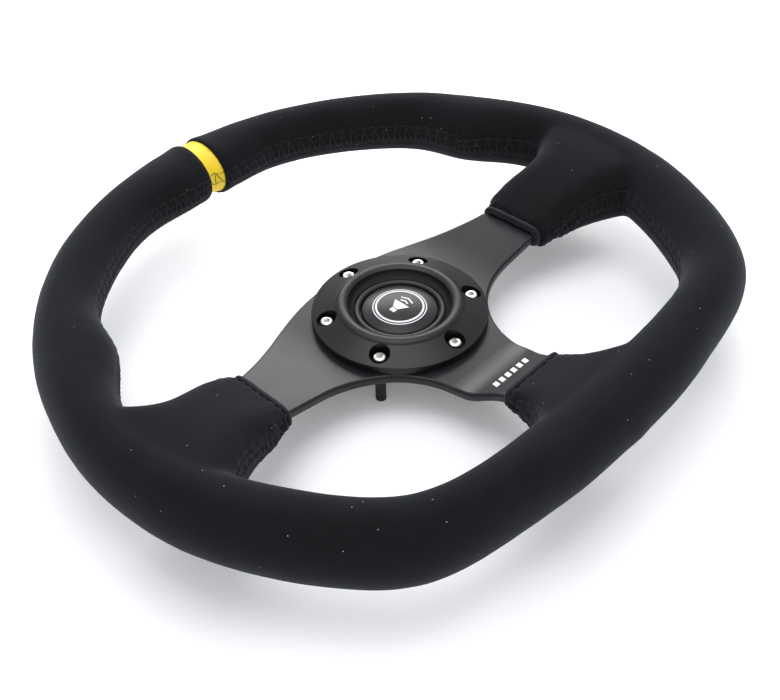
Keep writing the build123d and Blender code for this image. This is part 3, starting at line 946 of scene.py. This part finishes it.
def make_patches():
    """Slow patches: a mask from 0 to 1."""
    tree, given, out = group("slow_patches", [("Scale", 40.0), ("Contrast", 0.5)], ["Mask"])
    where = add(tree, "ShaderNodeTexCoord").outputs["Object"]
    cloud = add(tree, "ShaderNodeTexNoise", [(where, "Vector"), (given.outputs["Scale"], "Scale")],
                Detail=4.0, Roughness=0.6)
    low = add(tree, "ShaderNodeMath", [(given.outputs["Contrast"], 0)], operation="MULTIPLY")
    low.inputs[1].default_value = CONTRAST_TRIM
    high = add(tree, "ShaderNodeMath", [(low.outputs[0], 1)], operation="SUBTRACT")
    high.inputs[0].default_value = 1.0
    fit = add(tree, "ShaderNodeMapRange", [(cloud.outputs[0], "Value"), (low.outputs[0], "From Min"),
                                           (high.outputs[0], "From Max")])
    tree.links.new(fit.outputs[0], out.inputs["Mask"])
    return tree


def make_specks():
    """Sparse specks of lint or dust: a mask that is 1 on a few small spots."""
    tree, given, out = group("specks", [("Scale", 260.0), ("Size", 0.09), ("Share", 0.12)], ["Mask"])
    where = add(tree, "ShaderNodeTexCoord").outputs["Object"]
    cells = add(tree, "ShaderNodeTexVoronoi", [(where, "Vector"), (given.outputs["Scale"], "Scale")])
    near = add(tree, "ShaderNodeMath", [(cells.outputs["Distance"], 0), (given.outputs["Size"], 1)],
               operation="LESS_THAN")
    pick = add(tree, "ShaderNodeSeparateColor", [(cells.outputs["Color"], "Color")])
    few = add(tree, "ShaderNodeMath", [(pick.outputs[0], 0), (given.outputs["Share"], 1)],
              operation="LESS_THAN")
    both = add(tree, "ShaderNodeMath", [(near.outputs[0], 0), (few.outputs[0], 1)], operation="MULTIPLY")
    tree.links.new(both.outputs[0], out.inputs["Mask"])
    return tree


def make_edge_highlight():
    """Painted edge highlight: a mask on sharp outer edges, broken up by noise, where a lighter colour paints
    the light that rounded edges catch.
    """
    tree, given, out = group("painted_edge_highlight", [("Start", 0.53), ("End", 0.62)], ["Mask"])
    where = add(tree, "ShaderNodeTexCoord").outputs["Object"]
    shape = add(tree, "ShaderNodeNewGeometry")
    sharp = add(tree, "ShaderNodeMapRange", [(shape.outputs["Pointiness"], "Value"),
                                             (given.outputs["Start"], "From Min"),
                                             (given.outputs["End"], "From Max")])
    rough = add(tree, "ShaderNodeTexNoise", [(where, "Vector")], Scale=300.0, Detail=3.0)
    both = add(tree, "ShaderNodeMath", [(sharp.outputs[0], 0), (rough.outputs[0], 1)],
               operation="MULTIPLY")
    tree.links.new(both.outputs[0], out.inputs["Mask"])
    return tree


GROUPS = {"grain": make_grain(), "patches": make_patches(), "specks": make_specks(),
          "edge_highlight": make_edge_highlight()}
print("shared effects:", sorted(GROUPS))

# %% [markdown]
# One function builds every finish from the same parts: a colour that drifts between two tones,
# optional specks and a painted highlight on the sharp edges, a roughness that drifts with the colour, and a
# fine bump.

# %% Finish builder
def use(tree, effect, **values):
    """Places a shared effect in a material with its own values."""
    node = tree.nodes.new("ShaderNodeGroup")
    node.node_tree = GROUPS[effect]
    for key, value in values.items():
        node.inputs[key].default_value = value
    return node


def mix_colour(tree, factor, first, second):
    """Mixes two colours, given as values or sockets, by a mask."""
    node = add(tree, "ShaderNodeMix", data_type="RGBA")
    tree.links.new(factor, node.inputs[0])
    for value, socket in ((first, node.inputs[6]), (second, node.inputs[7])):
        if isinstance(value, tuple):
            socket.default_value = (*value, 1)
        else:
            tree.links.new(value, socket)
    return node.outputs[2]


def finish(name, tones, rough, patch=40.0, contrast=0.6, grain=(2500.0, 0.4), bump=(0.15, 0.05),
           specks=None, edge_highlight=None, **shader_values):
    """A material from two tones, a roughness range, and small effects."""
    material = bpy.data.materials.new(name)
    material.use_nodes = True
    tree = material.node_tree
    shader = tree.nodes["Principled BSDF"]
    patches = use(tree, "patches", Scale=patch, Contrast=contrast).outputs[0]
    colour = mix_colour(tree, patches, *tones)
    # painted highlight: the sharp edges are lightened as if they caught the light
    if edge_highlight:
        mask = use(tree, "edge_highlight", Start=edge_highlight[0], End=edge_highlight[1]).outputs[0]
        colour = mix_colour(tree, mask, colour, edge_highlight[2])
    if specks:
        mask = use(tree, "specks", Scale=specks[0], Size=specks[1], Share=specks[2]).outputs[0]
        colour = mix_colour(tree, mask, colour, specks[3])
    tree.links.new(colour, shader.inputs["Base Color"])
    gloss = add(tree, "ShaderNodeMapRange", [(patches, "Value")], To_Min=rough[0], To_Max=rough[1])
    tree.links.new(gloss.outputs[0], shader.inputs["Roughness"])
    height = use(tree, "grain", Scale=grain[0], Coarse=grain[1]).outputs[0]
    relief = add(tree, "ShaderNodeBump", [(height, "Height")], Strength=bump[0], Distance=bump[1] * MM)
    tree.links.new(relief.outputs[0], shader.inputs["Normal"])
    for key, value in shader_values.items():
        shader.inputs[key.replace("_", " ")].default_value = value
    material.diffuse_color = (*tones[0], 1)
    return material


def dress(piece, material):
    """Gives a piece this one material in every slot."""
    slots = piece.data.materials
    if len(slots) == 0:
        slots.append(material)
    for slot in piece.material_slots:
        slot.material = material


LINT = (0.30, 0.30, 0.31)
suede = finish("suede_black", ((0.0036, 0.0038, 0.0046), (0.0082, 0.0086, 0.0098)), (0.86, 0.98),
               55.0, 0.55, (1500.0, 0.45), (0.55, 0.35), (420.0, 0.10, 0.05, LINT),
               Sheen_Weight=0.10, Sheen_Roughness=0.45, Sheen_Tint=(0.80, 0.86, 1.0, 1),
               Specular_IOR_Level=0.15)
# The hem's suede is a lighter copy of the black suede: its lighter tones are a painted sheen on the rolled
# edge.
hem_suede_painted_sheen = finish("suede_hem_painted_sheen", ((0.008, 0.0085, 0.010), (0.020, 0.021, 0.024)), (0.6, 0.8),
                   90.0, 0.5, (1500.0, 0.5), (0.6, 0.3),
                   Sheen_Weight=0.12, Sheen_Roughness=0.4, Sheen_Tint=(0.85, 0.9, 1.0, 1),
                   Specular_IOR_Level=0.2)
thread = finish("waxed_thread", ((0.003, 0.003, 0.004), (0.007, 0.007, 0.008)), (0.5, 0.7),
                400.0, 0.5, (4000.0, 0.3), (0.5, 0.1))
yellow = finish("marker_yellow", ((0.90, 0.62, 0.012), (1.0, 0.74, 0.022)), (0.42, 0.55), 60.0, 0.5,
                (2600.0, 0.5), (0.25, 0.08))
# The last colour in each satin black finish is a painted highlight on its sharp edges.
plate_black = finish("plate_satin_black", ((0.0060, 0.0070, 0.0085), (0.0085, 0.0098, 0.0115)),
                     (0.30, 0.38), 30.0, 0.6, (5200.0, 0.3), (0.18, 0.03),
                     (170.0, 0.055, 0.10, (0.25, 0.26, 0.28)),
                     (0.55, 0.72, (0.035, 0.037, 0.040)), Specular_IOR_Level=0.3)
ring_black = finish("ring_satin_black", ((0.0050, 0.0050, 0.0055), (0.0070, 0.0070, 0.0076)),
                    (0.33, 0.40), 45.0, 0.6, (4200.0, 0.3), (0.15, 0.03),
                    (150.0, 0.05, 0.05, (0.2, 0.2, 0.22)),
                    (0.56, 0.72, (0.03, 0.03, 0.032)), Specular_IOR_Level=0.3)
rubber = finish("lip_rubber", ((0.008, 0.008, 0.009), (0.014, 0.014, 0.015)), (0.42, 0.55), 80.0, 0.6,
                (3500.0, 0.4), (0.2, 0.05))
cap_finish = finish("cap_satin_plastic", ((0.006, 0.006, 0.007), (0.009, 0.009, 0.010)),
                    (0.30, 0.38), 35.0, 0.6, (6000.0, 0.3), (0.2, 0.02),
                    (220.0, 0.04, 0.05, (0.2, 0.2, 0.2)), Specular_IOR_Level=0.3)
housing = finish("housing_plastic", ((0.012, 0.012, 0.012), (0.022, 0.022, 0.022)), (0.5, 0.65), 60.0, 0.6,
                 (2500.0, 0.5), (0.3, 0.05))
bar_metal = finish("drawn_bar", ((0.50, 0.51, 0.53), (0.62, 0.63, 0.65)), (0.3, 0.5), 120.0, 0.5,
                   (3000.0, 0.5), (0.3, 0.05), Metallic=1.0)
weld_metal = finish("weld_bead", ((0.35, 0.34, 0.33), (0.55, 0.55, 0.56)), (0.35, 0.6), 300.0, 0.6,
                    (900.0, 0.7), (0.7, 0.4), Metallic=1.0)
brass = finish("pressed_brass", ((0.62, 0.42, 0.16), (0.80, 0.60, 0.28)), (0.25, 0.45), 150.0, 0.6,
               (3000.0, 0.4), (0.25, 0.04), Metallic=1.0)
spring = finish("spring_steel", ((0.38, 0.38, 0.39), (0.55, 0.55, 0.56)), (0.25, 0.42), 200.0, 0.6,
                (3200.0, 0.4), (0.25, 0.04), Metallic=1.0)
white_print = finish("printed_white", ((0.80, 0.81, 0.83), (0.90, 0.91, 0.92)), (0.45, 0.6), 300.0, 0.5,
                     (5000.0, 0.4), (0.15, 0.02))
print("finishes made:", len(bpy.data.materials))

# %% [markdown]
# The hub bolts change along their length: a bright plated head, and a tail that is dark, dull
# and not metallic below the plate, where the thread is. A step on the height picks between the two,
# and a fine wave in the bump stands for the thread's turns, because their real shape would be too small to
# see.

# %% Bolt finish
THREAD_PITCH = 0.8 * MM
THREAD_TOP_Z = 0.2 * MM
DULLER = 0.45               # how much rougher the tail is than the head


def bolt_finish():
    """Plated head above the plate and dark thread below it."""
    material = finish("bolt_plated", ((0.62, 0.60, 0.56), (0.82, 0.80, 0.76)), (0.18, 0.34), 260.0, 0.6,
                      (3000.0, 0.4), (0.2, 0.04), Metallic=1.0)
    tree = material.node_tree
    shader = tree.nodes["Principled BSDF"]
    where = add(tree, "ShaderNodeTexCoord").outputs["Object"]
    height = add(tree, "ShaderNodeSeparateXYZ", [(where, "Vector")]).outputs["Z"]
    below = add(tree, "ShaderNodeMath", [(height, 0)], operation="LESS_THAN")
    below.inputs[1].default_value = THREAD_TOP_Z
    colour = shader.inputs["Base Color"].links[0].from_socket
    dark = mix_colour(tree, below.outputs[0], colour, (0.012, 0.012, 0.014))
    tree.links.new(dark, shader.inputs["Base Color"])
    turns = add(tree, "ShaderNodeMath", [(height, 0)], operation="MULTIPLY")
    turns.inputs[1].default_value = 2 * pi / THREAD_PITCH
    wave = add(tree, "ShaderNodeMath", [(turns.outputs[0], 0)], operation="SINE")
    masked = add(tree, "ShaderNodeMath", [(wave.outputs[0], 0), (below.outputs[0], 1)], operation="MULTIPLY")
    ridges = add(tree, "ShaderNodeBump", [(masked.outputs[0], "Height")], Strength=0.8, Distance=0.2 * MM)
    grain_bump = shader.inputs["Normal"].links[0].from_socket
    tree.links.new(grain_bump, ridges.inputs["Normal"])
    tree.links.new(ridges.outputs[0], shader.inputs["Normal"])
    duller = add(tree, "ShaderNodeMath", [(below.outputs[0], 0)], operation="MULTIPLY")
    duller.inputs[1].default_value = DULLER
    gloss = shader.inputs["Roughness"].links[0].from_socket
    total = add(tree, "ShaderNodeMath", [(gloss, 0), (duller.outputs[0], 1)], operation="ADD")
    tree.links.new(total.outputs[0], shader.inputs["Roughness"])
    metal = add(tree, "ShaderNodeMath", [(below.outputs[0], 1)], operation="SUBTRACT")
    metal.inputs[0].default_value = 1.0
    tree.links.new(metal.outputs[0], shader.inputs["Metallic"])
    return material


bolts = bolt_finish()
print("bolt finish made")

# %% [markdown]
# Every node and every new piece gets its finish here, in one table, so that none is forgotten.
# The fixed parts keep their shape and change only in what covers them.

# %% Dress every piece
FINISH_OF = {
    "spoke_plate": plate_black, "rim_hoop": bar_metal, "weld_beads": weld_metal, "hub_ring": ring_black,
    "hub_bolts": bolts, "button_housing": housing, "button_lip": rubber, "retaining_clips": spring,
    "button_cap": cap_finish, "moving_contact": brass, "fixed_contact": brass, "spring_seat": brass,
    "return_spring": spring, "terminal_live": brass, "terminal_earth": brass, "terminal_rivets": brass,
    "rim_foam": housing, "cover_right": suede, "cover_left": suede, "centre_band": yellow,
    "hem_right": hem_suede_painted_sheen, "hem_left": hem_suede_painted_sheen, "hem_lower": hem_suede_painted_sheen,
}
for name, material in FINISH_OF.items():
    dress(nodes[name], material)
dress(cover, suede)
dress(band, yellow)
for piece in hems:
    dress(piece, hem_suede_painted_sheen)
for piece in lacing:
    dress(piece, thread)
for piece in (cap_print, spoke_print):
    dress(piece, white_print)
print("dressed:", len(FINISH_OF) + 2 + len(hems) + len(lacing) + 2, "pieces")
